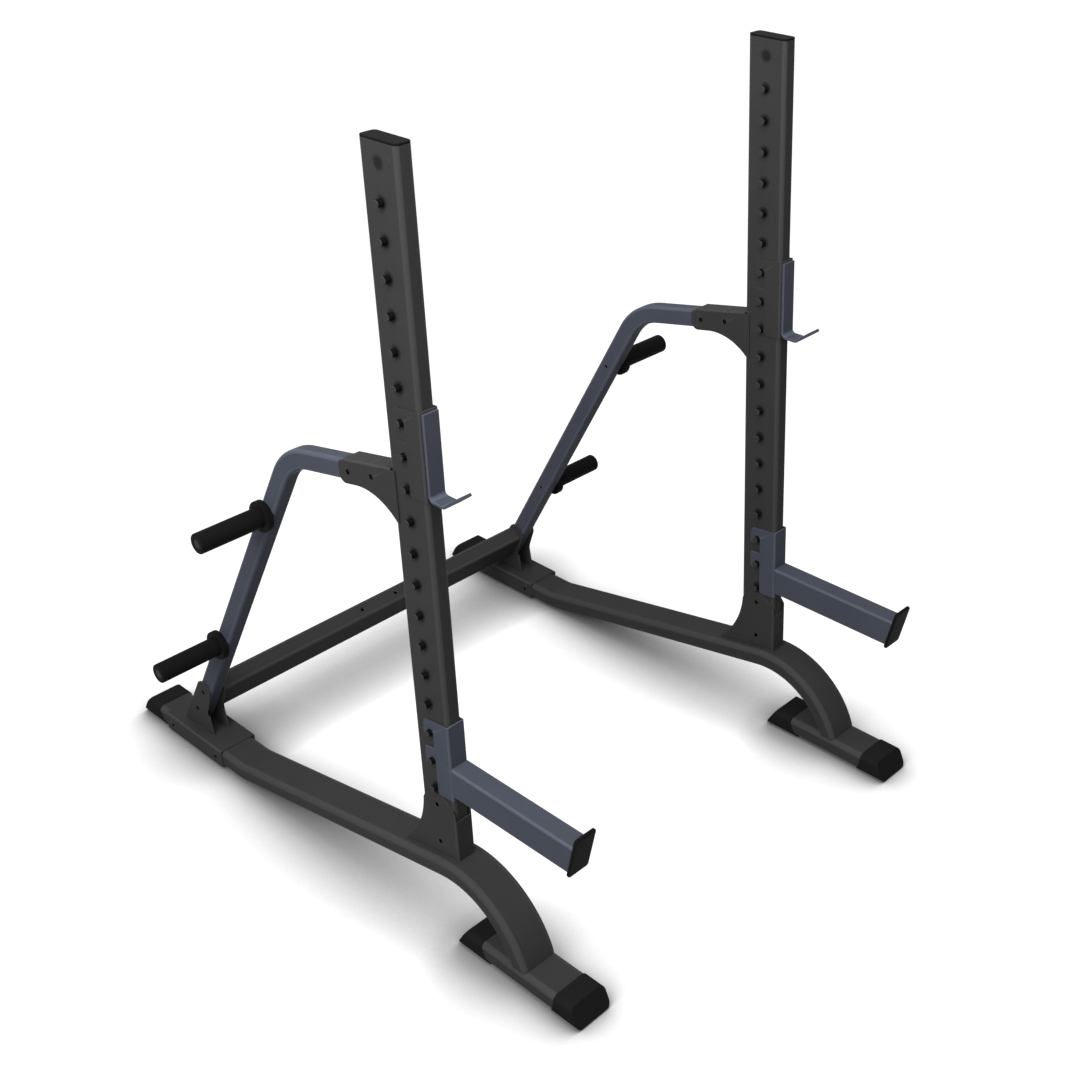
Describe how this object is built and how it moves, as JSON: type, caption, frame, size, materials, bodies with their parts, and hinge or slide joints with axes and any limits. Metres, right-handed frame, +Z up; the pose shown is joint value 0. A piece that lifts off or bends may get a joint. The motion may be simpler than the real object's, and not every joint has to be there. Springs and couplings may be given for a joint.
{
  "type": "squat rack",
  "caption": "Free-standing squat rack: braced uprights with support pins, hook-on bar cups and spotter arms, bent base rails, a cross beam and plate storage pegs.",
  "frame": {"origin": "on the floor, at the middle of the rack's footprint", "axes": "+Z up; -Y towards the lifter's open side, where the bar cups and spotter arms are; +X to the right for someone who looks in from that side"},
  "size_m": [1.5026, 1.728, 1.8729],
  "materials": {
    "charcoal_powder_coat": "satin, finely textured powder coat, charcoal",
    "slate_powder_coat": "satin powder coat, slate blue",
    "black_rubber": "matt moulded rubber",
    "black_plastic": "matt moulded plastic",
    "bolt_steel": "dull plated steel"
  },
  "bodies": {
    "frame": {"left_base_rail": "charcoal_powder_coat", "left_front_foot": "charcoal_powder_coat", "left_foot_front_boot": "black_rubber", "left_foot_rear_boot": "black_rubber", "left_rail_rear_boot": "black_rubber", "left_upright_socket": "charcoal_powder_coat", "left_upright": "charcoal_powder_coat", "left_upright_cap": "black_plastic", "left_brace": "slate_powder_coat", "left_brace_bracket": "charcoal_powder_coat", "left_rear_saddle": "charcoal_powder_coat", "left_clevis_plate_outer": "charcoal_powder_coat", "left_clevis_plate_inner": "charcoal_powder_coat", "left_bracket_bolt_1": "bolt_steel", "left_bracket_bolt_2": "bolt_steel", "left_clevis_bolt_1": "bolt_steel", "left_clevis_bolt_2": "bolt_steel", "left_upper_peg_collar": "black_plastic", "left_upper_peg_sleeve": "black_plastic", "left_upper_peg_core": "bolt_steel", "left_lower_peg_collar": "black_plastic", "left_lower_peg_sleeve": "black_plastic", "left_lower_peg_core": "bolt_steel", "right_base_rail": "charcoal_powder_coat", "right_front_foot": "charcoal_powder_coat", "right_foot_front_boot": "black_rubber", "right_foot_rear_boot": "black_rubber", "right_rail_rear_boot": "black_rubber", "right_upright_socket": "charcoal_powder_coat", "right_upright": "charcoal_powder_coat", "right_upright_cap": "black_plastic", "right_brace": "slate_powder_coat", "right_brace_bracket": "charcoal_powder_coat", "right_rear_saddle": "charcoal_powder_coat", "right_clevis_plate_outer": "charcoal_powder_coat", "right_clevis_plate_inner": "charcoal_powder_coat", "right_bracket_bolt_1": "bolt_steel", "right_bracket_bolt_2": "bolt_steel", "right_clevis_bolt_1": "bolt_steel", "right_clevis_bolt_2": "bolt_steel", "right_upper_peg_collar": "black_plastic", "right_upper_peg_sleeve": "black_plastic", "right_upper_peg_core": "bolt_steel", "right_lower_peg_collar": "black_plastic", "right_lower_peg_sleeve": "black_plastic", "right_lower_peg_core": "bolt_steel", "cross_beam": "charcoal_powder_coat"},
    "left_cup": {"left_cup_bracket": "charcoal_powder_coat", "left_cup_strap": "slate_powder_coat"},
    "right_cup": {"right_cup_bracket": "charcoal_powder_coat", "right_cup_strap": "slate_powder_coat"},
    "left_arm": {"left_arm_bracket": "slate_powder_coat", "left_spotter_arm": "slate_powder_coat", "left_arm_cap": "black_plastic"},
    "right_arm": {"right_arm_bracket": "slate_powder_coat", "right_spotter_arm": "slate_powder_coat", "right_arm_cap": "black_plastic"}
  },
  "joints": [
    {"name": "left_cup_lift", "type": "slide", "parent": "frame", "child": "left_cup", "axis": [0, 0, 1], "range_m": [0, 0.034]},
    {"name": "left_arm_lift", "type": "slide", "parent": "frame", "child": "left_arm", "axis": [0, 0, 1], "range_m": [0, 0.034]},
    {"name": "right_cup_lift", "type": "slide", "parent": "frame", "child": "right_cup", "axis": [0, 0, 1], "range_m": [0, 0.034]},
    {"name": "right_arm_lift", "type": "slide", "parent": "frame", "child": "right_arm", "axis": [0, 0, 1], "range_m": [0, 0.034]}
  ]
}
